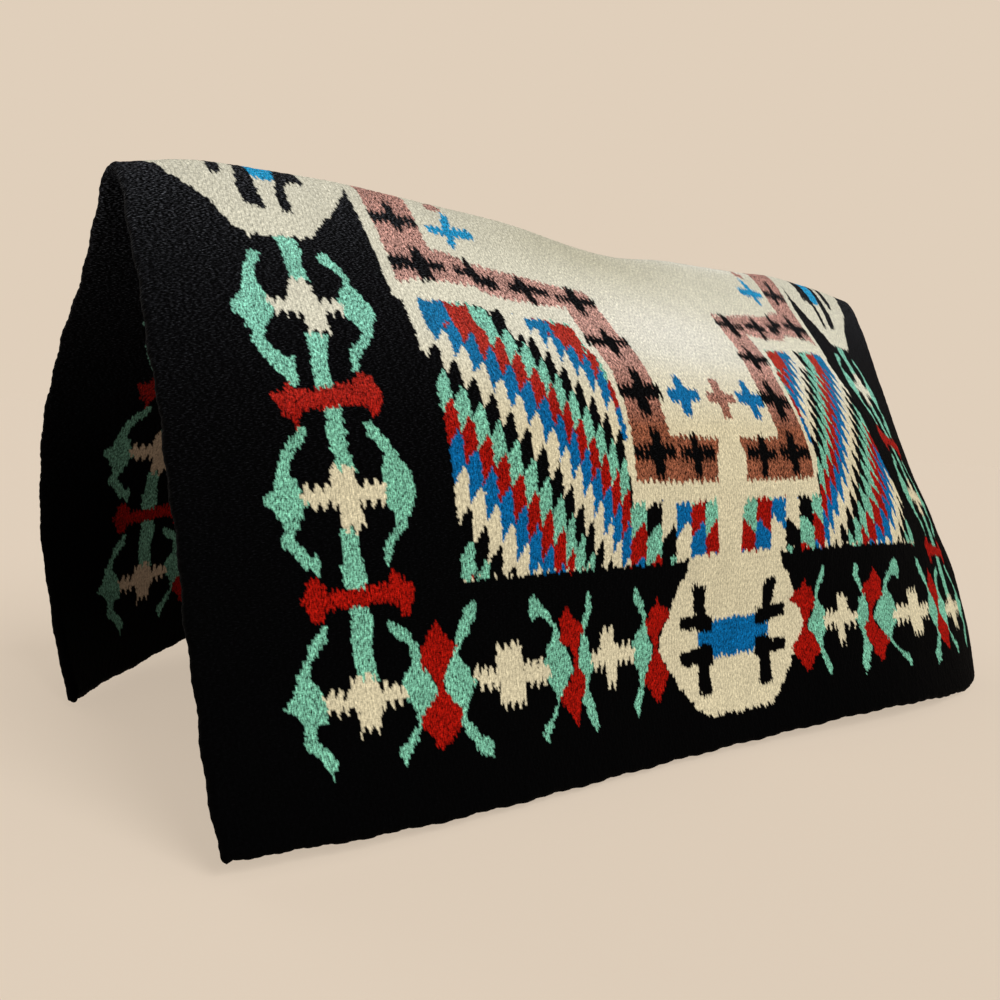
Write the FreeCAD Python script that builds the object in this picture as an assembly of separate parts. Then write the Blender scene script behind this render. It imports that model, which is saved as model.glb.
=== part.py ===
import FreeCAD, Part
import math
import os

# A hand-woven wool saddle blanket, folded over its spine line and standing like
# a tent on its two bottom edges.  Millimetres, +Z up, X along the ridge with the
# front of the blanket at -X, and the near flap towards -Y.  Every colour field is
# its own weft yarn, so every field is its own solid, butted against its neighbours.

# --- driving dimensions ------------------------------------------------------
LENGTH = 864.0          # along the ridge, 34 in
FLAP = 457.0            # ridge line to bottom edge along the cloth, 18 in
THICK = 9.0             # beaten tapestry weave
RIM = 3.0               # thickness at the outer rim of the edge cords
SLIT = 0.3              # gap between neighbouring yarn fields

FOLD_ARC = 24.0         # ridge line to each fold line, along the cloth
FOLD_GAP = 0.6          # running clearance at the fold lines
SWINGS = (-32, -16, 0, 28, 55)   # flap positions, degrees, that the ridge is relieved for

FOLD_ANGLE = 56.0       # degrees below horizontal that the cloth turns to at the ridge
FOLD_LENGTH = 12.0      # cloth length that the turn takes
BELLY_ANGLE = 11.0      # flatter in the upper half and steeper in the lower half by this much
SETTLE_ANGLE = 4.0      # extra turn gained by the bottom edge

# Weave layout: u from an end edge, v from the ridge line.
END_CORD = 9.0          # whipped cord along each end
SELVAGE = 8.0           # doubled cord along each bottom edge
BORDER = 170.0          # black end border, outer edge to inner field
FIELD_FOOT = 319.0      # ridge line to the black bottom border
FRAME_OUT = 322.0       # outer side of the stepped frame's legs
FRAME_IN = 354.0        # inner side of the stepped frame's legs
FRAME_FOOT = 225.0      # ridge line to the foot of the frame's inner field
MEDALLION_END = 344.0   # tip of the bottom medallion

FOOT_TRIM = 1.6         # bottom selvage pressed flat by the floor, by this much
MIDDLE = LENGTH / 2


# --- the draped sheet --------------------------------------------------------
def turn_angle(v):
    """Slope of the cloth below horizontal, in radians, at v from the ridge line."""
    past_fold = max(0.0, v - FOLD_ARC) / (FLAP - FOLD_ARC)
    angle = FOLD_ANGLE * (1.0 - math.exp(-v / FOLD_LENGTH))
    angle -= BELLY_ANGLE * math.sin(2.0 * math.pi * past_fold)
    angle += SETTLE_ANGLE * past_fold
    return math.radians(angle)


def run_down(v0, v1, start):
    """(out, drop) reached by following the cloth from v0 to v1."""
    out, drop = start
    steps = max(4, math.ceil((v1 - v0) / 4.0))
    step = (v1 - v0) / steps
    for i in range(steps):
        angle = turn_angle(v0 + (i + 0.5) * step)
        out += step * math.cos(angle)
        drop += step * math.sin(angle)
    return out, drop


FOLD_OUT, FOLD_DROP = run_down(0.0, FOLD_ARC, (0.0, 0.0))
FOOT_DROP = run_down(FOLD_ARC, FLAP, (FOLD_OUT, FOLD_DROP))[1]
RIDGE_Z = FOOT_DROP - FOOT_TRIM


def flap_point(side, u, v, offset):
    """Point of a flap, moved out from its mid-surface by offset."""
    if v > FOLD_ARC:
        out, drop = run_down(FOLD_ARC, v, (FOLD_OUT, FOLD_DROP))
    else:
        out, drop = FOLD_OUT, FOLD_DROP
    angle = turn_angle(v)
    y = side * (out + offset * math.sin(angle))
    z = RIDGE_Z - drop + offset * math.cos(angle)
    return FreeCAD.Vector(u - MIDDLE, y, z)


def spread(low, high, pitch):
    """Evenly spaced values from low to high, no more than pitch apart."""
    count = max(3, math.ceil((high - low) / pitch))
    return [low + (high - low) * i / count for i in range(count + 1)]


def skin(side, us, vs, half, face):
    """B-spline surface over one face of the sheet: face is 1 outside, -1 inside."""
    grid = [[flap_point(side, u, v, face * half(u, v)) for v in vs] for u in us]
    surface = Part.BSplineSurface()
    surface.interpolate(grid)
    return surface


def closed_between(outer, inner):
    """Closed solid between two surfaces that span the same patch."""
    u0, u1, v0, v1 = outer.bounds()
    p0, p1, q0, q1 = inner.bounds()
    faces = [outer.toShape(), inner.toShape()]
    for a, b in ((u0, p0), (u1, p1)):
        faces.append(Part.makeRuledSurface(outer.uIso(a).toShape(), inner.uIso(b).toShape()))
    for a, b in ((v0, q0), (v1, q1)):
        faces.append(Part.makeRuledSurface(outer.vIso(a).toShape(), inner.vIso(b).toShape()))
    shell = Part.Shell(faces)
    shell.sewShape()
    solid = Part.Solid(shell)
    if solid.Volume < 0:
        solid.reverse()
    return solid


# --- edges -------------------------------------------------------------------
def rounded(depth, width):
    """Half thickness of an edge cord at a depth from its outer rim."""
    share = min(1.0, max(0.0, depth / width))
    crown = math.sqrt(1.0 - (1.0 - share) ** 2)
    return RIM / 2 + (THICK - RIM) / 2 * crown


def half_thickness(u, v):
    """Half thickness of the sheet: full inside, rounded off along its four edges."""
    to_end = min(u, LENGTH - u)
    return min(rounded(to_end, END_CORD), rounded(FLAP - v, SELVAGE))


# --- flap pieces -------------------------------------------------------------
def flap_patch(side, u0, u1, v0, v1):
    """One yarn field of a flap, with a rounded knuckle where it meets the fold line."""
    gap = SLIT / 2
    low_u = u0 if u0 == 0.0 else u0 + gap
    high_u = u1 if u1 == LENGTH else u1 - gap
    low_v = v0 if v0 == FOLD_ARC else v0 + gap
    high_v = v1 if v1 == FLAP else v1 - gap
    us = spread(low_u, high_u, 45.0)
    vs = spread(low_v, high_v, 30.0)
    solid = closed_between(skin(side, us, vs, half_thickness, 1), skin(side, us, vs, half_thickness, -1))
    if v0 == FOLD_ARC:
        return solid.fuse(knuckle(side, low_u, high_u))
    if v1 == FLAP:
        return solid.cut(Part.makeBox(2 * LENGTH, 2 * FLAP, FLAP, FreeCAD.Vector(-LENGTH, -FLAP, -FLAP)))
    return solid


def knuckle(side, u0, u1):
    """Half-round nose about the fold line, on the side away from the flap."""
    radius = min(half_thickness(u0, FOLD_ARC), half_thickness(u1, FOLD_ARC))
    axis = FreeCAD.Vector(u0 - MIDDLE, side * FOLD_OUT, RIDGE_Z - FOLD_DROP)
    round_bar = Part.makeCylinder(radius, u1 - u0, axis, FreeCAD.Vector(1, 0, 0))
    angle = turn_angle(FOLD_ARC)
    away = FreeCAD.Vector(0, -side * math.cos(angle), math.sin(angle))
    block = slab(side, u0, u1, away, 2 * radius, radius)
    return round_bar.common(block)


def slab(side, u0, u1, direction, reach, half):
    """Flat bar from a fold line along direction, half thick to each side."""
    across = FreeCAD.Vector(0, -direction.z, direction.y)
    base = FreeCAD.Vector(u0 - MIDDLE, side * FOLD_OUT, RIDGE_Z - FOLD_DROP)
    corners = [base + across * half, base + across * half + direction * reach,
               base - across * half + direction * reach, base - across * half]
    face = Part.Face(Part.makePolygon(corners + corners[:1]))
    return face.extrude(FreeCAD.Vector(u1 - u0, 0, 0))


FIELDS = {
    "front_end_cord": (0.0, END_CORD, FOLD_ARC, FLAP - SELVAGE),
    "front_border": (END_CORD, BORDER, FOLD_ARC, FIELD_FOOT),
    "front_stripes": (BORDER, FRAME_OUT, FOLD_ARC, FIELD_FOOT),
    "front_frame_leg": (FRAME_OUT, FRAME_IN, FOLD_ARC, FIELD_FOOT),
    "centre_field": (FRAME_IN, LENGTH - FRAME_IN, FOLD_ARC, FRAME_FOOT),
    "frame_foot": (FRAME_IN, LENGTH - FRAME_IN, FRAME_FOOT, FIELD_FOOT),
    "rear_frame_leg": (LENGTH - FRAME_IN, LENGTH - FRAME_OUT, FOLD_ARC, FIELD_FOOT),
    "rear_stripes": (LENGTH - FRAME_OUT, LENGTH - BORDER, FOLD_ARC, FIELD_FOOT),
    "rear_border": (LENGTH - BORDER, LENGTH - END_CORD, FOLD_ARC, FIELD_FOOT),
    "rear_end_cord": (LENGTH - END_CORD, LENGTH, FOLD_ARC, FLAP - SELVAGE),
    "bottom_border_front": (END_CORD, MEDALLION_END, FIELD_FOOT, FLAP - SELVAGE),
    "bottom_medallion": (MEDALLION_END, LENGTH - MEDALLION_END, FIELD_FOOT, FLAP - SELVAGE),
    "bottom_border_rear": (LENGTH - MEDALLION_END, LENGTH - END_CORD, FIELD_FOOT, FLAP - SELVAGE),
    "bottom_selvage": (0.0, LENGTH, FLAP - SELVAGE, FLAP),
}


# --- ridge pieces ------------------------------------------------------------
def ridge_outline(offset):
    """Curve over the ridge from fold line to fold line, moved out by offset."""
    points = []
    for i in range(-8, 9):
        v = FOLD_ARC * abs(i) / 8
        out, drop = run_down(0.0, v, (0.0, 0.0))
        angle = turn_angle(v)
        side = 1 if i > 0 else -1
        y = side * (out + offset * math.sin(angle))
        points.append(FreeCAD.Vector(0, y, RIDGE_Z - drop + offset * math.cos(angle)))
    curve = Part.BSplineCurve()
    curve.interpolate(points)
    return curve.toShape()


def ridge_relief():
    """Room for both flaps' knuckles at every swing, over the whole length."""
    pieces = []
    half = THICK / 2 + FOLD_GAP
    for side in (-1, 1):
        axis = FreeCAD.Vector(-MIDDLE - 1, side * FOLD_OUT, RIDGE_Z - FOLD_DROP)
        pieces.append(Part.makeCylinder(half, LENGTH + 2, axis, FreeCAD.Vector(1, 0, 0)))
        for swing in SWINGS:
            angle = turn_angle(FOLD_ARC) - math.radians(swing)
            away = FreeCAD.Vector(0, side * math.cos(angle), -math.sin(angle))
            pieces.append(slab(side, -1.0, LENGTH + 1.0, away, 3 * THICK, half))
    return pieces[0].fuse(pieces[1:])


def ridge_piece(u0, u1, relief):
    """One yarn field of the strip over the ridge."""
    outer = ridge_outline(THICK / 2)
    inner = ridge_outline(-THICK / 2)
    ends = [Part.makeLine(outer.Vertexes[i].Point, inner.Vertexes[i].Point) for i in (0, -1)]
    face = Part.Face(Part.Wire(Part.__sortEdges__([outer, inner] + ends)))
    low = u0 if u0 == 0.0 else u0 + SLIT / 2
    high = u1 if u1 == LENGTH else u1 - SLIT / 2
    face.translate(FreeCAD.Vector(low - MIDDLE, 0, 0))
    return face.extrude(FreeCAD.Vector(high - low, 0, 0)).cut(relief)


RIDGE_FIELDS = {
    "ridge_front_end_cord": (0.0, END_CORD),
    "ridge_front_border": (END_CORD, BORDER),
    "ridge_centre_field": (BORDER, LENGTH - BORDER),
    "ridge_rear_border": (LENGTH - BORDER, LENGTH - END_CORD),
    "ridge_rear_end_cord": (LENGTH - END_CORD, LENGTH),
}


# --- build -------------------------------------------------------------------
def main():
    os.makedirs("parts", exist_ok=True)
    relief = ridge_relief()
    for name, (u0, u1) in RIDGE_FIELDS.items():
        export(ridge_piece(u0, u1, relief), name)
    for side, flap in ((-1, "near"), (1, "far")):
        for name, (u0, u1, v0, v1) in FIELDS.items():
            export(flap_patch(side, u0, u1, v0, v1), flap + "_" + name)
    print("fold lines at y = +-%.2f, z = %.2f, ridge at z = %.2f"
          % (FOLD_OUT, RIDGE_Z - FOLD_DROP, RIDGE_Z + THICK / 2))


def export(shape, name):
    """Write one sub-part, and stop if it isn't closed and valid."""
    if not shape.isValid() or not shape.Solids:
        raise ValueError(name + " is not a valid solid")
    shape.exportStep("parts/" + name + ".step")
    box = shape.BoundBox
    print("%-28s %8.1f cm3  x %.0f..%.0f  y %.0f..%.0f  z %.1f..%.0f" % (
        name, shape.Volume / 1000, box.XMin, box.XMax, box.YMin, box.YMax, box.ZMin, box.ZMax))


main()
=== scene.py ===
"""Looks for a woven saddle blanket that hangs in two flaps from its spine.

Cloth coordinates are in millimetres: u runs along the spine from the front end,
v runs down a flap from the spine. Everything in Blender is in metres.
"""
import math

import bpy
import numpy as np
from mathutils import Matrix, Vector


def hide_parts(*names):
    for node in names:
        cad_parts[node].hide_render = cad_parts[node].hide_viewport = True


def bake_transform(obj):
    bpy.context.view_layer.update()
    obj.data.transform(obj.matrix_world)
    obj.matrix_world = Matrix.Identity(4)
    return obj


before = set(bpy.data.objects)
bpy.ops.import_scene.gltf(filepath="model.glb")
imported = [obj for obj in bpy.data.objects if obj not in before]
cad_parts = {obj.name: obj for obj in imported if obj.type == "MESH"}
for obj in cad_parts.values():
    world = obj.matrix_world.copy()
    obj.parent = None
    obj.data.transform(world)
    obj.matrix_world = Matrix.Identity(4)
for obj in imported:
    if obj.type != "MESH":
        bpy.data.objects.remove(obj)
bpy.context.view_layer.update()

MM = 0.001

# ---- the blanket ------------------------------------------------------------
LENGTH = 864.0          # along the spine
FLAP = 457.0            # from the spine to a bottom edge
THICK = 8.4             # the cloth's thickness
PANELS = 6              # meshes along each flap
COLUMNS = 150           # mesh columns in a panel
ROWS = 320              # mesh rows down a flap
FLOAT_WIDE = 2.88       # one weft float, along u
FLOAT_LONG = 8.57       # one weft float, along v
INNER_SHIFT = 4.3       # how far down the inside's relief is moved against the outside's
CORNER = 4.0            # radius of the cloth's corners
CORNER_SHORT = 4.0      # how much shorter the cloth is at its front corners
EDGE_REACH = 40.0       # how far in from an edge its wander dies out
FAR_EASE = 150.0        # distance from the spine at which the far flap's inner face meets the drape
RAISE = 8.0             # how far the whole drape is lifted, so that its foot clears the floor
FOOT = 4.7              # least height of a bottom edge's middle line
CORD_RADIUS = 2.7       # the edge cords
CORD_INSET = 2.6        # from the cloth's edge to a cord's middle
CORD_LAY = 11.0         # length of one full twist
CORD_SIDES = 14         # mesh sides round a cord
CORD_STEPS_END = 600    # mesh rings along an end cord, on one flap
CORD_STEPS_FOOT = 1100  # mesh rings along a selvage cord
INSIDE_LAYER = 40.0     # third cloth coordinate of the inside, where its grain differs
CORD_LAYER = 90.0       # third cloth coordinate of the cords

# ---- yarn colours, linear ---------------------------------------------------
BLACK, CREAM, RED, BLUE, MINT, ROSE = range(6)
PAINTED_LIGHT_DEPTHS = (20.0, 100.0, 150.0, 220.0)       # down the flap: spine, mid-slope, mid-slope, lower flap; the tones across these bands are painted light and shade: a painted sheen near the spine and mid-slope, painted shade on the cream at the crest, deeper lower down
# Three tones per yarn, at the spine, mid-slope and lower flap; the change between them is painted
# light and shade from the top light.
YARN = np.array([
    [(0.0007, 0.0007, 0.0009), (0.0007, 0.0007, 0.0009), (0.0004, 0.0004, 0.0005)],
    [(0.59, 0.57, 0.455), (0.685, 0.660, 0.525), (0.655, 0.575, 0.380)],
    [(0.40, 0.045, 0.030), (0.355, 0.026, 0.016), (0.280, 0.005, 0.002)],
    [(0.008, 0.265, 0.50), (0.008, 0.145, 0.32), (0.002, 0.110, 0.290)],
    [(0.205, 0.50, 0.385), (0.190, 0.49, 0.37), (0.155, 0.410, 0.280)],
    [(0.355, 0.182, 0.147), (0.43, 0.240, 0.200), (0.210, 0.068, 0.034)],
])
HEATHER = np.array((0.8, 0.55, 1.4, 1.2, 1.45, 2.0))      # how mottled each yarn is
CREAM_LIGHT_AND_SHADE = (       # middle (u, v), reach (u, v) and tone of painted light and shade on the cream field
    # painted shade on the crest, which is turned from the light
    ((370, 22), (110, 34), (0.84, 0.83, 0.78)),
    # painted light mid-slope, where the cloth faces the light
    ((420, 125), (120, 48), (1.10, 1.11, 1.22)),
    # painted highlight on the spine
    ((580, 0), (110, 14), (1.22, 1.24, 1.36)),
)
INSIDE_SHADE = np.array((0.52, 0.42, 0.42))      # painted shade: the inside is darkened for the shadow it lies in under the drape

# ---- the pattern, in cloth millimetres of the front half --------------------
LOBE_PITCH = 5.9        # one rounded finger of a woven edge
CUSP = 0.38             # share of a finger's length that lies inside its outline
STEP_DEPTH = 6.5        # how far the weft columns of a cream cross stand up and down
STEP_MIDDLE = 0.6       # the part of that wave that lies outside the outline
FINE_PITCH = 3.6        # one spike of a finely feathered edge
BOLD = 1.1              # how far the black claws spread along u

HEXAGON_RIDGE = [(18, -1), (24, 8), (30, 20), (40, 31), (49, 41), (55, 51), (60, 61), (67, 68),
                 (71, 70), (113, 70), (118, 62), (126, 52), (136, 42), (143, 31), (149, 21),
                 (154, 10), (158, -1)]
CROSS_1 = [(88, 108), (101, 107), (103, 124), (119, 126), (120, 134), (106, 136), (107, 150),
           (93, 150), (92, 136), (75, 135), (71, 125), (86, 124)]
CROSS_2 = [(88, 246), (102, 244), (103, 258), (118, 255), (121, 261), (120, 269), (104, 269),
           (104, 277), (107, 281), (103, 284), (91, 284), (91, 269), (74, 270), (69, 261),
           (71, 257), (88, 258)]
CROSS_3 = [(86, 371), (101, 369), (103, 377), (118, 377), (124, 385), (119, 388), (105, 387),
           (103, 398), (104, 400), (88, 400), (89, 388), (72, 388), (68, 380), (71, 377),
           (86, 378)]
CROSS_4 = [(190, 362), (209, 362), (211, 375), (229, 375), (236, 384), (231, 389), (213, 387),
           (212, 399), (191, 399), (192, 387), (178, 386), (170, 378), (172, 374), (190, 376)]
CROSS_5 = [(282, 361), (294, 360), (296, 373), (312, 372), (316, 379), (315, 384), (298, 384),
           (297, 398), (288, 399), (287, 385), (276, 385), (272, 381), (275, 375), (282, 374)]
STEMS = [
    [(86, 71), (101, 72), (103, 82), (101, 92), (103, 109), (90, 108), (90, 84)],
    [(91, 150), (104, 153), (101, 166), (99, 180), (100, 192), (89, 192), (90, 170)],
    [(90, 203), (101, 203), (102, 222), (101, 232), (104, 248), (93, 248), (90, 222), (92, 214)],
    [(90, 284), (101, 284), (100, 296), (103, 312), (102, 320), (90, 320), (88, 306), (90, 300)],
    [(91, 330), (102, 330), (104, 340), (102, 354), (104, 373), (91, 373), (90, 352)],
]
BOWS = [
    [(68, 86), (71, 84), (75, 87), (72, 95), (68, 102), (69, 112), (73, 121), (76, 130),
     (74, 136), (68, 145), (65, 153), (68, 160), (74, 168), (80, 170), (80, 188), (76, 190),
     (69, 179), (63, 168), (57, 156), (60, 149), (56, 141), (50, 132), (50, 127), (57, 118),
     (61, 108), (63, 98)],
    [(112, 86), (118, 83), (123, 89), (126, 96), (129, 104), (131, 112), (135, 120), (139, 130),
     (140, 134), (137, 140), (134, 150), (130, 158), (124, 165), (120, 171), (118, 180),
     (114, 180), (115, 172), (115, 165), (121, 160), (126, 152), (126, 146), (121, 140),
     (118, 134), (117, 126), (120, 118), (125, 110), (125, 104), (120, 96), (113, 91)],
    [(74, 219), (78, 217), (78, 223), (70, 234), (67, 240), (65, 249), (69, 253), (70, 260),
     (74, 266), (70, 272), (67, 280), (63, 286), (62, 289), (67, 293), (70, 298), (75, 298),
     (77, 303), (75, 310), (70, 306), (64, 301), (60, 295), (55, 289), (58, 282), (57, 276),
     (53, 269), (48, 264), (50, 261), (54, 258), (57, 250), (60, 240), (65, 230)],
    [(114, 218), (119, 215), (121, 222), (126, 228), (131, 238), (134, 244), (138, 250),
     (140, 262), (138, 271), (134, 277), (131, 284), (127, 288), (123, 292), (121, 299),
     (118, 308), (116, 304), (116, 298), (117, 292), (122, 287), (126, 280), (123, 273),
     (120, 268), (119, 258), (120, 250), (122, 243), (124, 238), (120, 231), (114, 226)],
    [(72, 340), (76, 340), (75, 347), (69, 353), (64, 360), (62, 366), (64, 370), (68, 374),
     (70, 380), (71, 386), (68, 392), (62, 397), (60, 401), (64, 405), (70, 411), (72, 417),
     (68, 420), (67, 424), (65, 418), (60, 412), (55, 405), (54, 400), (57, 398), (55, 392),
     (51, 386), (45, 382), (50, 379), (53, 374), (55, 368), (60, 360), (64, 350), (70, 344)],
    [(113, 342), (117, 341), (122, 345), (128, 350), (133, 357), (135, 368), (138, 372),
     (143, 379), (145, 384), (139, 390), (134, 396), (129, 402), (126, 408), (121, 414),
     (118, 418), (115, 423), (111, 417), (111, 413), (116, 412), (121, 407), (127, 402),
     (128, 395), (123, 388), (119, 382), (120, 375), (124, 370), (128, 366), (127, 358),
     (122, 352), (114, 347)],
    [(169, 335), (176, 333), (176, 340), (170, 350), (164, 357), (161, 361), (162, 366),
     (166, 370), (169, 377), (173, 381), (172, 384), (168, 390), (164, 396), (162, 400),
     (164, 404), (168, 408), (173, 415), (179, 417), (181, 421), (179, 427), (172, 425),
     (166, 418), (160, 408), (157, 402), (158, 396), (154, 390), (150, 384), (149, 378),
     (152, 372), (156, 366), (158, 360), (161, 350), (165, 343)],
    [(218, 335), (222, 333), (227, 338), (233, 345), (240, 353), (243, 360), (246, 366),
     (250, 370), (254, 377), (256, 383), (251, 389), (246, 397), (242, 403), (240, 408),
     (235, 414), (231, 421), (228, 427), (225, 421), (226, 416), (232, 414), (236, 408),
     (241, 403), (240, 397), (236, 392), (232, 386), (229, 380), (231, 373), (232, 368),
     (236, 362), (238, 356), (232, 350), (226, 345), (219, 349), (217, 343)],
    [(267, 337), (270, 334), (273, 343), (271, 350), (268, 356), (266, 361), (270, 366),
     (271, 373), (275, 380), (273, 387), (270, 393), (270, 400), (273, 409), (276, 417),
     (275, 426), (271, 423), (267, 414), (263, 406), (266, 398), (267, 390), (262, 384),
     (261, 374), (263, 362), (264, 355), (267, 347)],
    [(312, 335), (315, 334), (320, 341), (325, 350), (327, 360), (329, 369), (333, 376),
     (334, 382), (329, 390), (326, 396), (325, 403), (322, 411), (318, 420), (316, 423),
     (313, 414), (317, 408), (320, 402), (320, 394), (316, 387), (313, 378), (314, 371),
     (318, 365), (323, 361), (323, 356), (319, 349), (314, 345)],
]
RED_BARS = [
    [(62, 196), (70, 194), (73, 187), (78, 194), (92, 193), (104, 191), (113, 189), (118, 181),
     (124, 184), (127, 191), (129, 200), (126, 206), (122, 212), (118, 204), (108, 203),
     (92, 205), (79, 205), (77, 210), (73, 219), (72, 210), (66, 207), (64, 201)],
    [(62, 323), (66, 321), (67, 315), (72, 313), (77, 316), (78, 322), (90, 321), (104, 320),
     (117, 318), (118, 310), (124, 314), (129, 318), (134, 322), (131, 327), (129, 335),
     (123, 336), (122, 328), (105, 328), (90, 329), (76, 329), (74, 336), (68, 336), (66, 328)],
]
DIAMONDS = [
    [(147, 343), (150, 350), (157, 356), (160, 360), (155, 364), (152, 370), (149, 378),
     (148, 383), (153, 388), (158, 394), (160, 398), (157, 406), (148, 413), (142, 417),
     (138, 412), (135, 406), (129, 401), (131, 397), (137, 392), (143, 386), (145, 381),
     (143, 377), (139, 371), (134, 368), (133, 363), (137, 356), (140, 350)],
    [(250, 341), (254, 348), (262, 354), (267, 359), (262, 362), (260, 370), (261, 383),
     (267, 388), (267, 396), (262, 404), (260, 412), (256, 419), (252, 413), (248, 406),
     (243, 402), (247, 396), (253, 390), (257, 383), (257, 376), (253, 368), (243, 364),
     (245, 358), (243, 352)],
    [(337, 343), (341, 350), (348, 352), (352, 358), (345, 362), (340, 368), (339, 378),
     (342, 385), (347, 392), (351, 396), (348, 403), (343, 409), (340, 415), (336, 413),
     (332, 407), (324, 400), (328, 395), (331, 388), (335, 383), (335, 376), (332, 369),
     (328, 365), (327, 358), (331, 352), (335, 349)],
]
HEXAGON_FOOT = [(372, 316), (430, 316), (430, 433), (390, 433), (380, 428), (370, 417), (357, 402),
                (345, 387), (339, 378), (345, 366), (353, 352), (358, 340), (366, 330)]
FIELD = [(158, -1), (153, 12), (153, 22), (155, 40), (156, 60), (157, 80), (157, 100),
         (158, 118), (163, 119), (164, 140), (164, 163), (166.5, 168), (166.5, 317),
         (432, 317), (432, -1)]
FRAME = [(163, -1), (165, 40), (166, 80), (165, 102), (180, 97), (228, 97), (236, 104),
         (250, 108), (280, 110), (308, 108), (309, 130), (314, 152), (318, 170), (319, 200),
         (318, 222), (316, 260), (404, 260), (406, 248), (409, 235), (412, 228), (356, 227),
         (357, 200), (358, 185), (356, 165), (354, 150), (348, 135), (345, 105), (343, 86),
         (320, 86), (300, 83), (280, 80), (256, 78), (236, 74), (222, 68), (203, 65),
         (204, 40), (203, -1)]
FRAME_CROSSES = [
    [(164, 37), (179, 35), (180, 22), (187, 22), (187, 35), (203, 34), (204, 40), (189, 41),
     (189, 49), (183, 49), (181, 41), (165, 44)],
    [(165, 79), (186, 79), (186, 68), (194, 68), (195, 79), (210, 79), (210, 84), (197, 86),
     (197, 97), (186, 98), (184, 88), (165, 88)],
    [(218, 80), (229, 82), (230, 71), (235, 71), (237, 86), (251, 88), (251, 97), (244, 99),
     (232, 93), (228, 86), (218, 86)],
    [(260, 92), (270, 91), (270, 83), (278, 83), (278, 91), (298, 93), (298, 98), (279, 98),
     (281, 111), (275, 111), (272, 99), (260, 98)],
    [(303, 97), (320, 96), (320, 85), (330, 84), (329, 95), (347, 95), (346, 101), (330, 101),
     (329, 113), (321, 113), (319, 101), (304, 101)],
    [(308, 141), (329, 141), (330, 131), (336, 131), (337, 140), (355, 140), (354, 145),
     (339, 146), (338, 157), (331, 157), (329, 147), (309, 147)],
    [(318, 188), (335, 186), (336, 172), (345, 172), (345, 185), (362, 184), (362, 194),
     (345, 195), (344, 209), (333, 209), (333, 196), (318, 195)],
    [(317, 236), (336, 235), (336, 223), (346, 223), (346, 235), (360, 235), (360, 242),
     (346, 243), (346, 256), (336, 256), (335, 243), (317, 243)],
    [(365, 237), (378, 237), (379, 226), (387, 226), (387, 236), (405, 236), (405, 243),
     (387, 244), (387, 257), (379, 257), (378, 244), (365, 243)],
]
BLUE_CROSS_SPINE = [(211, 39), (226, 38), (231, 22), (237, 22), (234, 37), (252, 36), (252, 44),
                    (233, 45), (231, 56), (224, 56), (226, 46), (212, 43)]
BLUE_CROSS = [(369, 188), (382, 186), (383, 174), (391, 174), (392, 186), (406, 186), (405, 195),
     (392, 196), (390, 208), (379, 208), (381, 197), (370, 197)]
ROSE_CROSS_SPINE = [(220, 12), (225, 11), (226, 6), (232, 6), (233, 11), (236, 12), (235, 16),
                    (230, 17), (224, 19), (221, 16)]
ROSE_CROSS = [(414, 189), (426, 188), (427, 174), (437, 174), (437, 188), (450, 189), (450, 196),
     (437, 197), (437, 210), (427, 210), (426, 197), (414, 196)]
PANEL = [(174, 119), (212, 120), (240, 123), (258, 128), (300, 130), (304, 150), (310, 165),
         (313, 190), (314, 215), (312, 235), (311, 262), (311, 277), (400, 277), (403, 317),
         (166.5, 318), (166.5, 150), (174, 148)]
PANEL_TOPS = [
    (BLUE, [(174, 119), (194.5, 119), (194.5, 136), (187, 138), (183, 133), (177, 146),
            (174, 146)]),
    (RED, [(195, 121), (213, 122), (213.5, 142), (209, 150), (205, 137), (199, 141), (195, 141)]),
    (MINT, [(214.5, 123), (227, 123), (228, 146), (221, 138), (214.5, 142)]),
    (BLACK, [(228.5, 125), (240, 125), (239, 140), (233, 137), (228.5, 142)]),
    (CREAM, [(240.5, 125), (257.5, 125), (257.5, 146), (249, 142), (240.5, 150)]),
    (BLUE, [(258, 131), (280, 130), (280, 139), (270, 140), (262, 136)]),
    (RED, [(280, 131), (301, 132), (303, 152), (291, 152), (280, 145)]),
]
BLUE_BAR = [(383, 372), (396, 371), (397, 365), (430, 365), (430, 391), (397, 391), (396, 383),
            (384, 382)]
CLAW = [(375, 338), (382, 340), (388, 340), (389, 352), (391, 362), (398, 363), (398, 370),
        (384, 370), (380, 367), (366, 367), (364, 361), (376, 362), (382, 360), (379, 350)]
CLAW_FOOT = [(364, 387), (382, 387), (386, 383), (398, 384), (399, 394), (393, 396), (394, 406),
             (397, 417), (389, 417), (383, 414), (384, 400), (384, 393), (366, 393)]
RIDGE_BAR = [(84, -1), (102, -1), (103, 12), (99, 19), (87, 19), (83, 12)]
RIDGE_CLAWS = [
    [(57, -1), (66, -1), (66, 14), (60, 19), (56, 18)],
    [(74, -1), (82, -1), (85, 20), (85, 34), (87, 47), (81, 45), (74, 43), (71, 30), (74, 14)],
    [(104, -1), (119, -1), (121, 19), (114, 17), (106, 22), (105, 36), (106, 48), (98, 47),
     (98, 30), (101, 14)],
]

# The stripes: slanting lozenges, one weft column at a time.
STRIPE_ORDER = (RED, BLUE, CREAM, BLACK, MINT)
STRIPE_LONG = (23.0, 24.5, 25.5, 21.0, 22.0)
STRIPE_RISE = 12.0      # how far a lozenge's end slants across its column
STRIPE_COLUMNS = ((166.5, 249.3, 308.5, 403), (0, 8, 15, 21))        # u and column number
STRIPE_TOPS = ((0, 14, 15, 18, 19, 20), (200, 380.6, 405, 474, 500, 522))    # column and phase
SLANT_SHARE = 0.8       # share of a column in which the end slants, before it turns back
SLANT_BACK = 20.0       # slope of the part that turns back
RAGGED_U = 0.45         # how far loose fibres blur a colour's edge along u
RAGGED_V = 0.95         # and along v
LEAN_IN = 0.12          # how far a weft row leans in at its middle
LEAN_ROW = 9.0          # height of such a row

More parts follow.
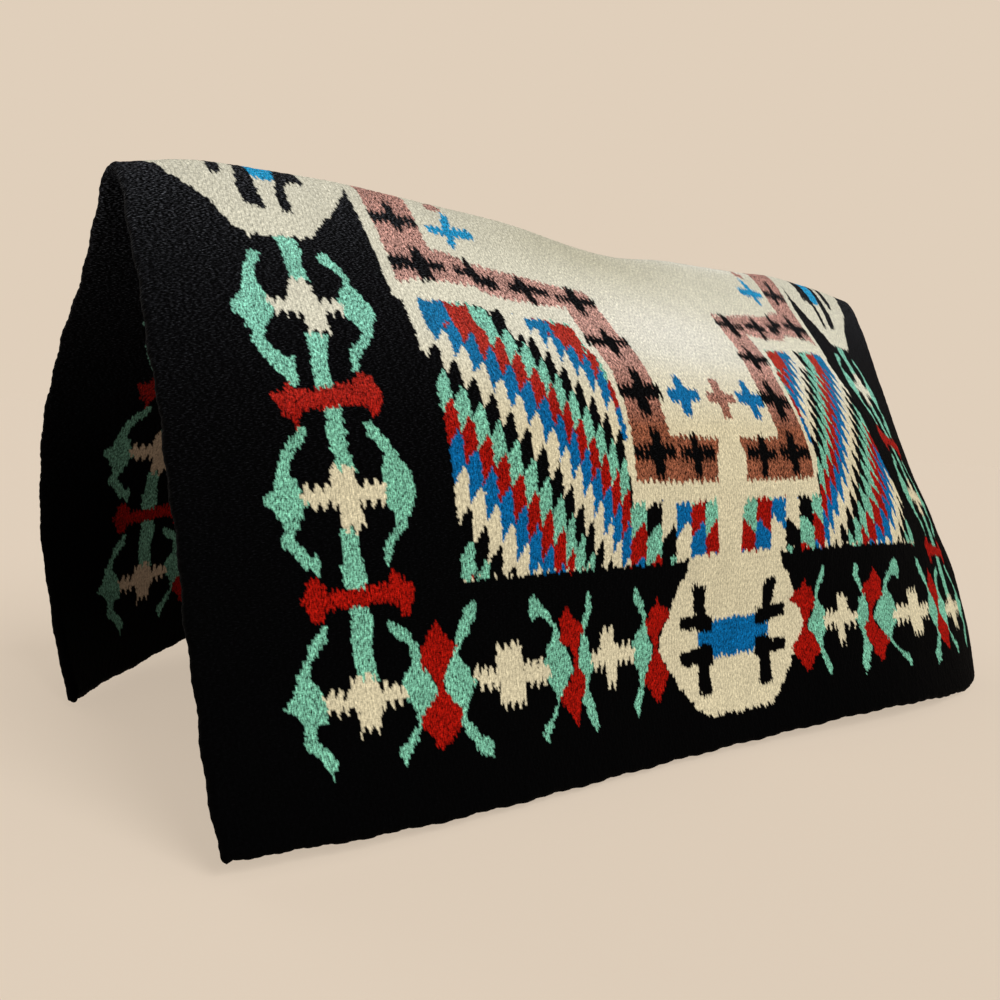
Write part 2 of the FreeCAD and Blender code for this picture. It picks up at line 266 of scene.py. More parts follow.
# The rear half repeats the front one, mirrored, with the drift of hand weaving.
MIRROR = 850.0          # u of a figure plus u of its mirror image
CROSS_MIRROR = 859.0    # that sum for the blue crosses of the field
MEDALLION_MIRROR = 847.0        # and for the bottom medallion
MEDALLION_SPAN = (336.0, 512.0)
DRIFT = ((430, 520, 555, 600, 655, 700, 760), (-19, -3, -8, 4, 21, 22, 16))  # u and drift
DRIFT_FROM, DRIFT_OVER = 240.0, 45.0    # v where the drift sets in, and how far it takes
REAR_DROP = ((0, 36, 92, 211, 322, FLAP), (0, 19, 72, 200, 322, FLAP))       # v, and v shown
REAR_FROM, REAR_OVER = 680.0, 20.0      # u where the rear border begins


def inside(u, v, outline):
    """True where (u, v) lies inside the outline."""
    hit = np.zeros(u.shape, bool)
    for (u1, v1), (u2, v2) in zip(outline, outline[1:] + outline[:1]):
        if v1 != v2:
            crossing = (v1 > v) != (v2 > v)
            hit ^= crossing & (u < (u2 - u1) * (v - v1) / (v2 - v1) + u1)
    return hit


def woven(u, v, outline, depth, pitch=LOBE_PITCH):
    """inside(), with the fingers that a woven colour has at its upper and lower edges."""
    low_u, high_u = min(p[0] for p in outline), max(p[0] for p in outline)
    low_v, high_v = min(p[1] for p in outline), max(p[1] for p in outline)
    near = (u >= low_u) & (u <= high_u) & (v >= low_v - depth) & (v <= high_v + depth)
    hit = np.zeros(u.shape, bool)
    un, vn = u[near], v[near]
    reach = depth * (np.abs(np.sin(np.pi * un / pitch)) ** 0.9 - CUSP)
    over, under = inside(un, vn + reach, outline), inside(un, vn - reach, outline)
    grown = (reach > 0) & (over | under | inside(un, vn, outline))
    hit[near] = grown | ((reach <= 0) & over & under)
    return hit


def stepped(u, v, outline):
    """inside(), with weft columns that stand in turn higher and lower."""
    low_v, high_v = min(p[1] for p in outline), max(p[1] for p in outline)
    near = (v >= low_v - STEP_DEPTH) & (v <= high_v + STEP_DEPTH)
    hit = np.zeros(u.shape, bool)
    un, vn = u[near], v[near]
    height = np.abs(np.sin(np.pi * un / LOBE_PITCH)) - STEP_MIDDLE
    hit[near] = inside(un, vn + STEP_DEPTH * height, outline)
    return hit


def stripes(u, v):
    """Colour number of the lozenge at (u, v)."""
    column = np.interp(u, *STRIPE_COLUMNS)
    whole = np.floor(column)
    across = column - whole
    top = np.interp(whole, *STRIPE_TOPS)
    slant = np.where(across < SLANT_SHARE, STRIPE_RISE * (1 - across / SLANT_SHARE),
                     (across - SLANT_SHARE) * SLANT_BACK)
    down = np.mod(v - top - slant, sum(STRIPE_LONG))
    edges = np.cumsum(STRIPE_LONG)
    return np.array(STRIPE_ORDER)[np.searchsorted(edges[:-1], down, side="right")]


def wander(u, v, seed):
    """A smooth wander between -1 and 1, made of a few waves."""
    rng = np.random.default_rng(seed)
    total = np.zeros(u.shape)
    for _ in range(6):
        a, b = rng.uniform(-1, 1, 2)
        phase = rng.uniform(0, 2 * np.pi)
        total += np.sin(2 * np.pi * (a * u + b * v) + phase)
    return total / 6 ** 0.5


def front_half(u, v):
    """The u of the front half that the rear half repeats, as the hand weaver met it."""
    low_part = np.clip((v - DRIFT_FROM) / DRIFT_OVER, 0, 1)
    return np.minimum(u, MIRROR + low_part * np.interp(u, *DRIFT) - u)


def rear_drop(u, v):
    """The v of the front half's border that the rear border shows at (u, v)."""
    dropped = np.interp(v, *REAR_DROP)
    share = np.clip((u - REAR_FROM) / REAR_OVER, 0, 1)
    return v + (dropped - v) * share


def design(u, v):
    """Colour number at each place of a flap."""
    v = v + 0.5 * wander(u / 9, v / 30, 3) + RAGGED_V * wander(u / 2.6, v / 5, 4)
    sway = 0.45 * wander(u / 40, v / 7, 5) + RAGGED_U * wander(u / 3.5, v / 2.6, 6)
    f = front_half(u, v) + sway + LEAN_IN * np.abs(np.mod(v, LEAN_ROW) - LEAN_ROW / 2)
    whole_v, v = v, rear_drop(u, v)
    colour = np.full(u.shape, BLACK)

    def paint(c, mask):
        colour[mask] = c

    for outline in STEMS + BOWS:
        paint(MINT, woven(f, v, outline, 1.0))
    for outline in (CROSS_1, CROSS_2, CROSS_3, CROSS_4, CROSS_5):
        paint(CREAM, stepped(f, v, outline))
    for outline in RED_BARS:
        paint(RED, woven(f, v, outline, 3.5, FINE_PITCH))
    paint(CREAM, woven(f, v, HEXAGON_RIDGE, 3.0, 8.5))
    paint(BLUE, woven(f, v, RIDGE_BAR, 2.0, 4.5))
    for outline in RIDGE_CLAWS:
        paint(BLACK, woven(f, v, outline, 3.0, 4.0))
    v = whole_v
    paint(CREAM, woven(f, v, FIELD, 3.5))
    paint(ROSE, woven(f, v, FRAME, 4.0))
    for outline in FRAME_CROSSES:
        paint(BLACK, woven(f, v, outline, 6.0, 4.6))
    stripe = woven(f, v, PANEL, 4.0, 6.0)
    colour[stripe] = stripes(f[stripe], v[stripe])
    for c, outline in PANEL_TOPS:
        paint(c, woven(f, v, outline, 3.5, 5.0))
    paint(BLUE, woven(f, v, BLUE_CROSS_SPINE, 4.0, 5.0))
    paint(BLUE, woven(np.minimum(u, CROSS_MIRROR - u) + sway, v, BLUE_CROSS, 4.0, 5.0))
    paint(ROSE, woven(f, v, ROSE_CROSS_SPINE, 3.0, 5.0))
    paint(ROSE, woven(u + sway, v, ROSE_CROSS, 3.0, 5.0))
    middle = (u > MEDALLION_SPAN[0]) & (u < MEDALLION_SPAN[1])
    g = np.where(middle, np.minimum(u, MEDALLION_MIRROR - u), 0) + sway
    paint(CREAM, middle & woven(g, v, HEXAGON_FOOT, 3.0, 8.5))
    paint(BLUE, middle & woven(g, v, BLUE_BAR, 3.0, 5.0))
    for outline in (CLAW, CLAW_FOOT):
        for shift in (-BOLD, BOLD):
            paint(BLACK, middle & woven(g + shift, v, outline, 4.5, 4.6))
    for outline in DIAMONDS:
        paint(RED, woven(f, v, outline, 2.0, FINE_PITCH))
    return colour


# ---- the drape ---------------------------------------------------------------
# A flap leaves the spine level and turns down: its slope at a distance down the flap is
# lean * (1 - exp(-distance / TURN)) plus slow waves. SPINE_Y, SPINE_Z, lean, slide, steady,
# belly and wave are polynomials in the place along the spine, from -1 at the front to 1 at
# the rear. The pair front holds the heights of two more waves, near the front end only, and
# the CURL polynomials, for the near flap's rear, are in the place down the flap. All of
# these, and SHRINK, are the rounded result of a least-squares fit.
TURN = 12.0
SCALE = 460.0           # the flap's depth that the waves below are reckoned in
FRONT_REACH = 80.0      # how far from the front end its own waves reach
SLIDE_REACH = 60.0      # distance down the flap at which its sideways slide sets in
BEND_DEPTH = 60.0       # the bend at the spine is summed apart, down to here
SPINE_SHIFT = 0.33      # share of the spine's bow that is taken off, to centre the blanket
FAR_LIFT = 11.0         # the far flap's bottom edge bows up behind its front corner
LIFT_FROM, LIFT_OVER = 90.0, 80.0       # where along the far flap that begins
TUCK, TUCK_REACH = 38.0, 95.0           # the far flap's front corner curls in
TUCK_X, TUCK_Y = 0.37, 0.93             # the direction that it curls in
SHRINK = 0.988          # how much shorter the sagging spine spans than the flat cloth
SPINE_Y = (0.0, 11.3, 33.0, -24.0)
SPINE_Z = (377.0, -2.3, 25.2, 0.6, -23.5)
SPINE_DIPS = ((5.2, 0, 35), (7.5, 420, 75), (-3.5, 710, 80))    # depth, middle u and width
DIP_REACH = 60.0
NEAR = dict(lean=(0.906, -0.038, 0.073, -0.058), slide=(-0.060, 0.042, 0.065, 0.037),
            steady=(0.111, -0.062, -0.356), belly=(0.176, -0.064, -0.221),
            wave=(-0.361, 0.040, 0.460), front=(0.026, -0.147), side=-1)
FAR = dict(lean=(1.038, -0.150, 0.228, -0.197), slide=(-0.002, -0.038, 0.035, 0.0),
           steady=(0.242, -0.095, 0.077), belly=(-0.251, 0.390, -0.190),
           wave=(0.0,), front=(0.134, -0.448), side=1)
CURL_FROM, CURL_OVER = 520.0, 344.0
CURL_Y = (54.7, 63.6, 46.5)
CURL_X = (47.5, 17.2)
CURL_Z = (-60.9, 7.9, -69.1)
GAUSS_X, GAUSS_W = np.polynomial.legendre.leggauss(6)   # where a bend's slope is sampled
SHARP_ANGLE = 62        # degrees past which a mesh edge is shaded sharp


def poly(coefficients, t):
    """The polynomial with these coefficients, lowest power first, at t."""
    return sum(c * t ** i for i, c in enumerate(coefficients))


def drape(u, v, flap):
    """Places in millimetres of cloth places (u, v), as an array of shape (..., 3)."""
    t = 2 * u / LENGTH - 1
    front = np.exp(-u / FRONT_REACH)
    lean, steady = poly(flap["lean"], t), poly(flap["steady"], t)
    belly, wave = poly(flap["belly"], t), poly(flap["wave"], t)

    def slope(s):
        w = s / SCALE
        one, two = np.sin(np.pi * w), np.sin(2 * np.pi * w)
        return lean * (1 - np.exp(-s / TURN)) + steady * w + belly * one + wave * two + \
            front * (flap["front"][0] * one + flap["front"][1] * two)

    split = np.minimum(v, BEND_DEPTH)
    out = np.zeros(u.shape)
    down = np.zeros(u.shape)
    for x, weight in zip(GAUSS_X, GAUSS_W):
        for start, span in ((0.0, split), (split, v - split)):
            angle = slope(start + span * (1 + x) / 2)
            out = out + weight * span / 2 * np.cos(angle)
            down = down + weight * span / 2 * np.sin(angle)
    slide = poly(flap["slide"], t) * v * (1 - np.exp(-v / SLIDE_REACH))
    px = LENGTH / 2 * t * SHRINK + slide
    py = poly(SPINE_Y, t) - SPINE_Y[2] * SPINE_SHIFT + flap["side"] * out
    pz = poly(SPINE_Z, t) - down
    if flap is NEAR:
        w = v / SCALE
        curl = np.clip((u - CURL_FROM) / CURL_OVER, 0, None)
        py = py + curl ** 2 * w * poly(CURL_Y, w)
        px = px - curl ** 3 * w * poly(CURL_X, w)
        pz = pz + curl ** 2 * w * poly(CURL_Z, w)
    else:
        tuck = TUCK * np.exp(-(u / TUCK_REACH) ** 2) * (v / FLAP) ** 3
        px = px - TUCK_X * tuck
        py = py - TUCK_Y * tuck
    for depth, middle, width in SPINE_DIPS:
        pz = pz - depth * np.exp(-((u - middle) / width) ** 2 - (v / DIP_REACH) ** 2)
    return np.stack([px, py, pz + RAISE], -1)


def settled(u, v, flap):
    """The drape, with its bottom edge lifted to the floor where it would go under."""
    place = drape(u, v, flap)
    stations = np.linspace(-20, LENGTH + 20, 200)
    foot = drape(stations, np.full(200, FLAP), flap)[:, 2]
    short = FOOT - foot
    lift = 0.5 * (short + np.sqrt(short ** 2 + 2.0 ** 2))
    if flap is FAR:
        lift += FAR_LIFT * np.clip((stations - LIFT_FROM) / LIFT_OVER, 0, 1)
    place[..., 2] += np.interp(u, stations, lift) * (v / FLAP) ** 3
    return place


def outline_shift(u, v):
    """Cloth places with rounded corners and the slight wander of the four edges."""
    reach = np.clip(v - (FLAP - CORNER), 0, CORNER)
    inset = CORNER - np.sqrt(CORNER ** 2 - reach ** 2)
    for end, sign in ((0.0, 1), (LENGTH, -1)):
        gap = np.abs(u - end)
        fade = np.clip(1 - gap / EDGE_REACH, 0, 1) ** 2
        scallop = 0.5 * np.sin(2 * np.pi * v / 34.0 + 1.0) + 0.5 * np.sin(2 * np.pi * v / 87.0)
        scallop += 0.4 * np.abs(np.sin(np.pi * v / 8.0))
        u = u + sign * fade * (inset + scallop)
    fade = np.clip(1 - (FLAP - v) / EDGE_REACH, 0, 1) ** 2
    v = v + fade * (0.5 * np.sin(2 * np.pi * u / 61.0) + 0.35 * np.sin(2 * np.pi * u / 17.0 + 2))
    v = v - fade * CORNER_SHORT * np.exp(-u / 60.0)
    return u, v


def cloth_place(u, v, flap):
    """(place, outward normal) of cloth places, in millimetres."""
    step = 0.05
    su, sv = outline_shift(u, v)
    place = settled(su, sv, flap)
    along = settled(su + step, sv, flap) - place
    down = settled(su, sv + step, flap) - place
    normal = np.cross(along, down) * flap["side"]
    return place, normal / np.linalg.norm(normal, axis=-1, keepdims=True)


def relief(u, v):
    """Height of the uneven cloth, in millimetres."""
    fuzz = 0.5 * wander(u / 5.3, v / 7.7, 11) + 0.5 * wander(u / 2.9, v / 3.9, 12)
    return 0.22 * fuzz + 0.4 * wander(u / 90, v / 70, 13)


def rounding(u, v):
    """Share of the full thickness, which falls to nothing at the cloth's free edges."""
    gap = np.minimum(np.minimum(u, LENGTH - u), FLAP - v)
    near = np.clip(gap / (THICK / 2), 0.02, 1)
    return np.sqrt(1 - (1 - near) ** 2)


def middle_offset(v, flap):
    """How far the cloth's middle stands outside the drape, which is the side that shows."""
    if flap is NEAR:
        return np.full(v.shape, -THICK / 2)
    ease = np.clip(v / FAR_EASE, 0, 1)
    return THICK * (ease * ease * (3 - 2 * ease) - 0.5)


def make_mesh(name, points, faces):
    """An object of four-sided faces, shaded smooth but for its sharp edges."""
    mesh = bpy.data.meshes.new(name)
    mesh.vertices.add(len(points))
    mesh.vertices.foreach_set("co", (points * MM).astype(np.float32).ravel())
    faces = np.asarray(faces, np.int32)
    mesh.loops.add(faces.size)
    mesh.loops.foreach_set("vertex_index", faces.ravel())
    mesh.polygons.add(len(faces))
    mesh.polygons.foreach_set("loop_start", np.arange(0, faces.size, 4, dtype=np.int32))
    mesh.update(calc_edges=True)
    mesh.shade_smooth()
    mesh.set_sharp_from_angle(angle=math.radians(SHARP_ANGLE))
    obj = bpy.data.objects.new(name, mesh)
    bpy.context.scene.collection.objects.link(obj)
    return obj


def add_attributes(obj, colour, mottle, cloth):
    """Yarn colour, mottling and cloth place of every vertex, for the wool material."""
    tint = obj.data.attributes.new("yarn", "FLOAT_COLOR", "POINT")
    rgba = np.concatenate([colour, mottle[:, None]], 1)
    tint.data.foreach_set("color", rgba.astype(np.float32).ravel())
    place = obj.data.attributes.new("cloth", "FLOAT_VECTOR", "POINT")
    place.data.foreach_set("vector", (cloth * MM).astype(np.float32).ravel())


def tones(number, u, v):
    """Colour of the yarns with these numbers at cloth places, with painted light and shade down the
    flap and on the cream field.
    """
    # painted light and shade down the flap, blended between the tone bands
    band = np.interp(v, PAINTED_LIGHT_DEPTHS, (0, 1, 1, 2))
    step = np.minimum(band.astype(int), 1)
    share = (band - step)[:, None]
    colour = YARN[number, step] * (1 - share) + YARN[number, step + 1] * share
    # painted light and shade on the cream field
    for middle, reach, tone in CREAM_LIGHT_AND_SHADE:
        patch = np.exp(-((u - middle[0]) / reach[0]) ** 2 - ((v - middle[1]) / reach[1]) ** 2)
        colour = colour * (1 + (patch * (number == CREAM))[:, None] * (np.array(tone) - 1))
    return colour


def grid_faces(columns, rows, offset, flip):
    """Faces of a grid of points, whose first point has the number offset."""
    i, j = np.meshgrid(np.arange(columns), np.arange(rows), indexing="ij")
    a = offset + i * (rows + 1) + j
    quad = np.stack([a, a + 1, a + rows + 2, a + rows + 1], -1).reshape(-1, 4)
    return quad[:, ::-1] if flip else quad


def panel(name, flap, position):
    """One closed piece of the woven cloth, from the spine to the bottom edge."""
    wide = LENGTH / PANELS
    u1 = np.linspace(position * wide, (position + 1) * wide, COLUMNS + 1)
    v1 = np.linspace(0, FLAP, ROWS + 1)
    u, v = (a.ravel() for a in np.meshgrid(u1, v1, indexing="ij"))
    place, normal = cloth_place(u, v, flap)
    share = rounding(u, v)
    place = place + normal * middle_offset(v, flap)[:, None]
    high = THICK / 2 * share + relief(u, v) * share
    low = THICK / 2 * share + relief(u + FLOAT_WIDE / 2, v + INNER_SHIFT) * share
    outer = place + normal * high[:, None]
    inner = place - normal * low[:, None]
    count = len(outer)
    near = flap is NEAR
    faces = [grid_faces(COLUMNS, ROWS, 0, not near), grid_faces(COLUMNS, ROWS, count, near)]
    row, last = ROWS + 1, COLUMNS * (ROWS + 1)
    rim = np.concatenate([
        np.arange(0, row),
        row * np.arange(1, COLUMNS + 1) + ROWS,
        np.arange(last + ROWS - 1, last - 1, -1),
        row * np.arange(COLUMNS - 1, 0, -1),
    ])
    after = np.roll(rim, -1)
    edge = np.stack([rim, rim + count, after + count, after], -1)
    faces.append(edge if near else edge[:, ::-1])
    obj = make_mesh(name, np.concatenate([outer, inner]), np.concatenate(faces))
    yarn = design(u, v)
    colour = tones(yarn, u, v)
    cloth = np.stack([u, v, np.zeros(count)], -1)
    mottle = HEATHER[yarn]
    # the inside copy of the colours gets the painted shade
    add_attributes(obj, np.concatenate([colour, colour * INSIDE_SHADE]),
                   np.concatenate([mottle, mottle]),
                   np.concatenate([cloth, cloth + (0, 0, INSIDE_LAYER)]))
    return obj


def cord(name, flap, points):
    """A two-ply cord along cloth places, with a rounded end at each end."""
    sides, radius = CORD_SIDES, CORD_RADIUS
    u, v = points
    line, normal = cloth_place(u, v, flap)
    line = line + normal * middle_offset(v, flap)[:, None]
    ahead = np.gradient(line, axis=0)
    ahead /= np.linalg.norm(ahead, axis=1, keepdims=True)
    side = np.cross(ahead, normal)
    run = np.concatenate([[0], np.cumsum(np.linalg.norm(np.diff(line, axis=0), axis=1))])
    turn = np.linspace(0, 2 * np.pi, sides, endpoint=False)
    gap = np.minimum(run, run[-1] - run)
    taper = np.sqrt(1 - (1 - np.clip(gap / radius, 0.03, 1)) ** 2)
    twist = 2 * np.pi * run / CORD_LAY
    ply = 0.92 + 0.12 * np.abs(np.cos(turn[None, :] - twist[:, None]))
    size = radius * taper[:, None] * ply
    spoke = (np.cos(turn)[None, :, None] * normal[:, None]
             + np.sin(turn)[None, :, None] * side[:, None])
    ring = line[:, None] + size[..., None] * spoke
    rings = len(line)
    i, j = np.meshgrid(np.arange(rings - 1), np.arange(sides), indexing="ij")
    a, b = i * sides + j, i * sides + (j + 1) % sides
    faces = np.stack([a, b, b + sides, a + sides], -1).reshape(-1, 4)
    ends = []
    for base, order in ((0, 1), ((rings - 1) * sides, -1)):
        for k in range(sides // 2 - 1):
            quad = [base + k, base + sides - 1 - k, base + sides - 2 - k, base + k + 1]
            ends.append(quad[::order])
    obj = make_mesh(name, ring.reshape(-1, 3), np.concatenate([faces, np.array(ends)]))
    count = rings * sides
    around = np.tile(turn * radius, rings)
    cloth = np.stack([np.repeat(u, sides) + around, np.repeat(v, sides) + around,
                      np.full(count, CORD_LAYER)], -1)
    add_attributes(obj, np.tile(YARN[BLACK, 2], (count, 1)), np.full(count, HEATHER[BLACK]), cloth)
    return obj


# ---- the wool ----------------------------------------------------------------
FUZZ_HIGHLIGHT_SPINE = 0.25       # brightness of pale fibre speckle at the spine, partly loose fibres and partly a painted highlight of the top light
FUZZ_HIGHLIGHT_REACH = 0.078      # metres down a flap over which that painted highlight fades
FUZZ_TINT = (0.93, 0.98, 1.12)
WOOL_ROUGHNESS = 0.95
WOOL_SPECULAR = 0.02
SHEEN, SHEEN_ROUGHNESS = 0.003, 0.40
DARKEST = 0.08          # no hollow between fibres is darker than this share of its yarn
BUMP_STRENGTH, BUMP_DEPTH = 0.7, 0.0007     # the second in metres


def node(tree, kind, **values):
    """A new node, with its named inputs or settings set."""
    made = tree.nodes.new(kind)
    for key, value in values.items():
        if key in made.inputs:
            made.inputs[key].default_value = value
        else:
            setattr(made, key, value)
    return made


def wool_material():
    """Brushed wool: weft floats, combed fibres, pale fibre speckle with a painted highlight that is
    brightest at the spine.
    """
    made = bpy.data.materials.new("brushed_wool")
    made.use_nodes = True
    tree = made.node_tree
    tree.nodes.clear()
    out = node(tree, "ShaderNodeOutputMaterial")
    shader = node(tree, "ShaderNodeBsdfPrincipled")
    shader.inputs["Roughness"].default_value = WOOL_ROUGHNESS
    shader.inputs["Specular IOR Level"].default_value = WOOL_SPECULAR
    shader.inputs["Sheen Weight"].default_value = SHEEN
    shader.inputs["Sheen Roughness"].default_value = SHEEN_ROUGHNESS
    yarn = node(tree, "ShaderNodeAttribute", attribute_name="yarn")
    cloth = node(tree, "ShaderNodeAttribute", attribute_name="cloth")

    def plug(socket, value):
        if isinstance(value, (int, float)):
            socket.default_value = value
        else:
            tree.links.new(value, socket)

    def maths(operation, a, b=0.0):
        made_node = node(tree, "ShaderNodeMath", operation=operation)
        plug(made_node.inputs[0], a)
        plug(made_node.inputs[1], b)
        return made_node.outputs[0]

    def noise(scale, stretch, detail, turn=0.0):
        mapping = node(tree, "ShaderNodeMapping")
        mapping.inputs["Scale"].default_value = stretch
        mapping.inputs["Rotation"].default_value = (0, 0, turn)
        made_noise = node(tree, "ShaderNodeTexNoise", Scale=scale, Detail=detail)
        tree.links.new(cloth.outputs["Vector"], mapping.inputs["Vector"])
        tree.links.new(mapping.outputs["Vector"], made_noise.inputs["Vector"])
        return made_noise.outputs["Fac"]

    def remap(value, low, high, start=0.3, end=0.7):
        ramp = node(tree, "ShaderNodeMapRange")
        for key, number in (("From Min", start), ("From Max", end), ("To Min", low),
                            ("To Max", high)):
            ramp.inputs[key].default_value = number
        tree.links.new(value, ramp.inputs["Value"])
        return ramp.outputs["Result"]

    place = node(tree, "ShaderNodeSeparateXYZ")
    tree.links.new(cloth.outputs["Vector"], place.inputs["Vector"])
    strands = maths("DIVIDE", place.outputs["X"], FLOAT_WIDE * MM)
    strand = maths("FLOOR", strands)
    across = maths("ABSOLUTE", maths("SINE", maths("MULTIPLY", strands, math.pi)))
    along = maths("ADD", maths("DIVIDE", place.outputs["Y"], FLOAT_LONG * MM),
                  maths("MULTIPLY", strand, 0.5))
    bead = maths("ABSOLUTE", maths("SINE", maths("MULTIPLY", along, math.pi)))
    weave = maths("MULTIPLY", maths("POWER", across, 0.5), maths("POWER", bead, 0.4))

    # Single fibres, slanting hairs, tufts of brushed wool, and uneven dye.
    fibres = noise(1000, (1.0, 0.40, 1.0), 4, 0.35)
    hairs = noise(1500, (0.30, 1.0, 1.0), 4, 0.9)
    tufts = noise(330, (1.0, 0.45, 1.0), 2, 0.2)
    blotch = noise(60, (1.0, 0.5, 1.0), 3)
    shade = maths("MULTIPLY", remap(fibres, 0.35, 1.68), remap(hairs, 0.70, 1.32))
    shade = maths("MULTIPLY", shade, remap(tufts, 0.84, 1.16))
    shade = maths("SUBTRACT", maths("MULTIPLY", shade, remap(blotch, 0.90, 1.10)), 1.0)
    shade = maths("ADD", maths("MULTIPLY", shade, yarn.outputs["Alpha"]), 1.0)
    shade = maths("MAXIMUM", shade, DARKEST)
    # painted shade in the grooves between weft floats, slightly lighter on their crests
    shade = maths("MULTIPLY", shade, remap(weave, 0.84, 1.04, 0.0, 0.8))
    tinted = node(tree, "ShaderNodeVectorMath", operation="SCALE")
    tree.links.new(yarn.outputs["Color"], tinted.inputs[0])
    tree.links.new(shade, tinted.inputs["Scale"])
    # pale fibre speckle, made brightest at the spine as a painted highlight of the top light
    loose = maths("POWER", remap(hairs, 0.0, 1.0, 0.40, 0.72), 3.0)
    fade = maths("POWER", math.exp(-1), maths("DIVIDE", place.outputs["Y"], FUZZ_HIGHLIGHT_REACH))
    loose = maths("MULTIPLY", loose, maths("MULTIPLY", fade, FUZZ_HIGHLIGHT_SPINE))
    fuzz = node(tree, "ShaderNodeVectorMath", operation="SCALE")
    fuzz.inputs[0].default_value = FUZZ_TINT
    tree.links.new(loose, fuzz.inputs["Scale"])
    fuzzy = node(tree, "ShaderNodeVectorMath", operation="ADD")
    tree.links.new(tinted.outputs["Vector"], fuzzy.inputs[0])
    tree.links.new(fuzz.outputs["Vector"], fuzzy.inputs[1])
    tree.links.new(fuzzy.outputs["Vector"], shader.inputs["Base Color"])
    high = maths("ADD", maths("MULTIPLY", fibres, 0.5), maths("MULTIPLY", hairs, 0.3))
    high = maths("ADD", high, maths("MULTIPLY", weave, 0.6))
    bump = node(tree, "ShaderNodeBump", Strength=BUMP_STRENGTH, Distance=BUMP_DEPTH)
    tree.links.new(high, bump.inputs["Height"])
    tree.links.new(bump.outputs["Normal"], shader.inputs["Normal"])
    tree.links.new(shader.outputs["BSDF"], out.inputs["Surface"])
    return made


# ---- the pieces --------------------------------------------------------------
wool = wool_material()
PANEL_NODES = (
    ("front_border", "bottom_border_front"),
    ("front_stripes",),
    ("front_frame_leg", "centre_field"),
    ("frame_foot", "bottom_medallion", "rear_frame_leg"),
    ("rear_stripes",),
    ("rear_border", "bottom_border_rear"),
)
RIDGE_NODES = {0: ("ridge_front_border",), 2: ("ridge_centre_field",), 5: ("ridge_rear_border",)}

pieces = []
for flap_name, flap in (("near", NEAR), ("far", FAR)):
    body = flap_name + "_flap"
    edge = np.linspace(0, LENGTH, CORD_STEPS_FOOT)
    drop = np.linspace(0, FLAP, CORD_STEPS_END)
    front = cord(f"{flap_name}_front_end_cord_yarn", flap,
                 (np.full(CORD_STEPS_END, CORD_INSET), drop))
    rear = cord(f"{flap_name}_rear_end_cord_yarn", flap,
                (np.full(CORD_STEPS_END, LENGTH - CORD_INSET), drop))
    foot = cord(f"{flap_name}_selvage_cord_yarn", flap,
                (edge, np.full(CORD_STEPS_FOOT, FLAP - CORD_INSET)))
    for piece, tail in ((front, "front_end_cord"), (rear, "rear_end_cord"),
                        (foot, "bottom_selvage")):
        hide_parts(f"{flap_name}_{tail}")
        pieces.append((piece, body))
    if flap is NEAR:
        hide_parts("ridge_front_end_cord")
        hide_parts("ridge_rear_end_cord")
    for number in range(PANELS):
        piece = panel(f"{flap_name}_weave_{number + 1}", flap, number)
        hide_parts(*(f"{flap_name}_{tail}" for tail in PANEL_NODES[number]))
        if flap is NEAR and number in RIDGE_NODES:
            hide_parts(*RIDGE_NODES[number])
        pieces.append((piece, body))

for piece, body in pieces:
    piece.data.materials.append(wool)
    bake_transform(piece)

# ---- floor, light and camera -------------------------------------------------
STAGE_RADIUS = 8.0
STAGE_HEIGHT = 5.5
STAGE_SIDES = 96
PAPER = (0.845, 0.728, 0.600)           # the floor, linear
FLOOR_GLOW = 0.7        # share of the floor's brightness that no shadow can take
BACKDROP = (0.745, 0.624, 0.497)
WORLD = (1.0, 0.94, 0.88, 1)
WORLD_STRENGTH = 0.385
KEY_LIGHT = ((-0.05, 0.75, -0.66), 2.10, 35)    # direction, strength, spread in degrees
FILL_LIGHT = ((0.1, -1.0, -0.22), 0.9, 40)


def stage_piece(name, points, faces, colour, glow):
    """A plain matt piece of the studio."""
    mesh = bpy.data.meshes.new(name)
    mesh.from_pydata(points, [], faces)
    obj = bpy.data.objects.new(name, mesh)
    bpy.context.scene.collection.objects.link(obj)
    made = bpy.data.materials.new(name)
    made.use_nodes = True
    shader = made.node_tree.nodes["Principled BSDF"]
    shader.inputs["Base Color"].default_value = (*colour, 1)
    shader.inputs["Roughness"].default_value = 1.0
    shader.inputs["Specular IOR Level"].default_value = 0.0
    shader.inputs["Emission Color"].default_value = (*BACKDROP, 1)
    shader.inputs["Emission Strength"].default_value = glow
    mesh.materials.append(made)
    return obj


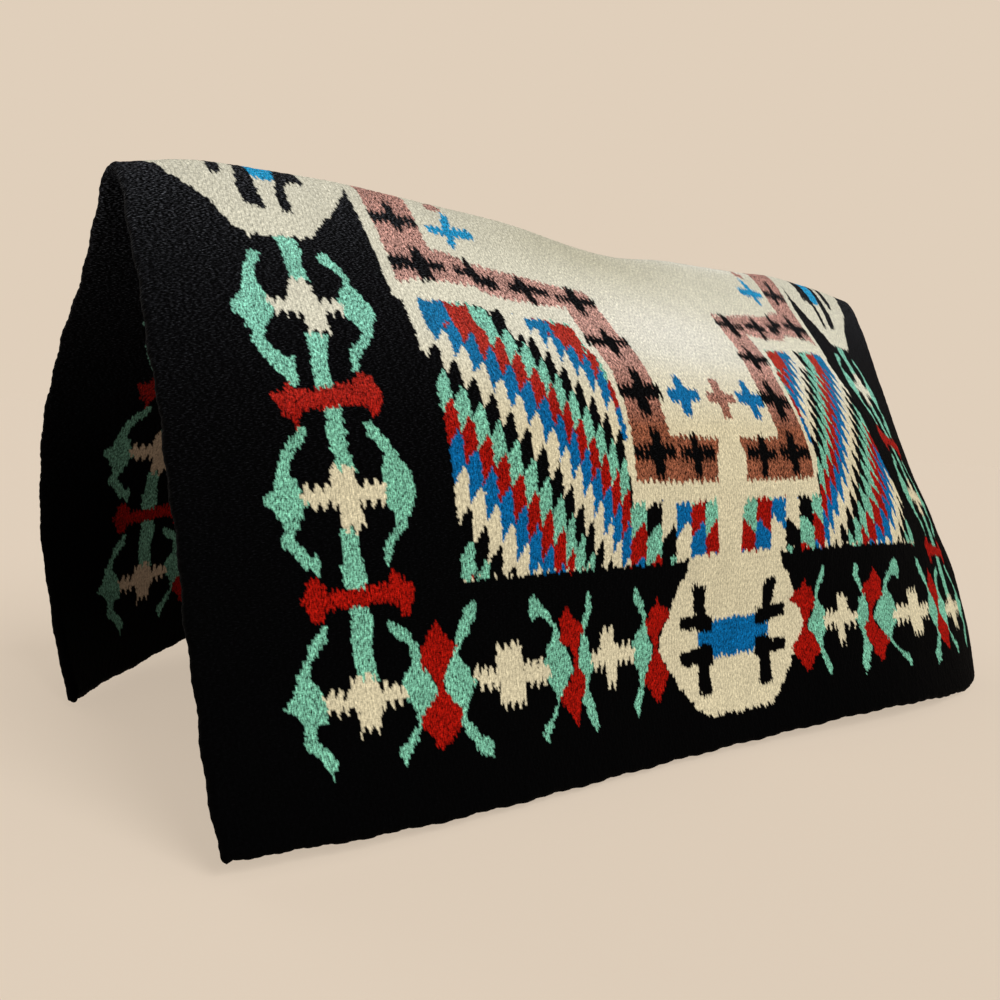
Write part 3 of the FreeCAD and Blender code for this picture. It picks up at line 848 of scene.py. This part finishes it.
circle = [(STAGE_RADIUS * math.cos(2 * math.pi * k / STAGE_SIDES),
           STAGE_RADIUS * math.sin(2 * math.pi * k / STAGE_SIDES)) for k in range(STAGE_SIDES)]
floor_colour = [(1 - FLOOR_GLOW) * c for c in PAPER]
floor = stage_piece("floor", [(x, y, 0) for x, y in circle], [tuple(range(STAGE_SIDES))],
                    floor_colour, FLOOR_GLOW)
wall_points = [(x, y, z) for x, y in circle for z in (0, STAGE_HEIGHT)]
wall_faces = []
for k in range(STAGE_SIDES):
    after = (k + 1) % STAGE_SIDES
    wall_faces.append((2 * k, 2 * after, 2 * after + 1, 2 * k + 1))
backdrop = stage_piece("backdrop", wall_points, wall_faces, (0, 0, 0), 1.0)
for plain in (floor, backdrop):
    plain.visible_shadow = False
    plain.visible_diffuse = False

world = bpy.data.worlds.new("studio")
world.use_nodes = True
world.node_tree.nodes["Background"].inputs["Color"].default_value = WORLD
world.node_tree.nodes["Background"].inputs["Strength"].default_value = WORLD_STRENGTH
bpy.context.scene.world = world
bpy.context.scene.view_settings.view_transform = "Standard"


def soft_sun(name, toward, power, spread):
    """A wide, soft, distant white light that shines along a direction."""
    lamp = bpy.data.lights.new(name, "SUN")
    lamp.energy = power
    lamp.angle = math.radians(spread)
    obj = bpy.data.objects.new(name, lamp)
    bpy.context.scene.collection.objects.link(obj)
    obj.rotation_euler = Vector(toward).to_track_quat("-Z", "Y").to_euler()


soft_sun("key_light", *KEY_LIGHT)
soft_sun("fill_light", *FILL_LIGHT)

# The camera's place, angles and lens come from the same fit as the drape.
CAMERA_PLACE = Vector((-728.1, -688.4, 239.8 + RAISE)) * MM
CAMERA_TURN, CAMERA_TILT, CAMERA_ROLL = (math.radians(a) for a in (47.4, -5.18, 3.97))
CAMERA_LENS = 40.19
look = Vector((math.cos(CAMERA_TILT) * math.cos(CAMERA_TURN),
               math.cos(CAMERA_TILT) * math.sin(CAMERA_TURN), math.sin(CAMERA_TILT)))
right = look.cross(Vector((0, 0, 1))).normalized()
up = right.cross(look)
right, up = (math.cos(CAMERA_ROLL) * right + math.sin(CAMERA_ROLL) * up,
             -math.sin(CAMERA_ROLL) * right + math.cos(CAMERA_ROLL) * up)
camera_data = bpy.data.cameras.new("camera")
camera_data.lens = CAMERA_LENS
camera_data.sensor_width = 36.0
camera_data.clip_start = 0.01
camera = bpy.data.objects.new("camera", camera_data)
bpy.context.scene.collection.objects.link(camera)
turned = Matrix((right, up, -look)).transposed().to_4x4()
camera.matrix_world = Matrix.Translation(CAMERA_PLACE) @ turned
bpy.context.scene.camera = camera
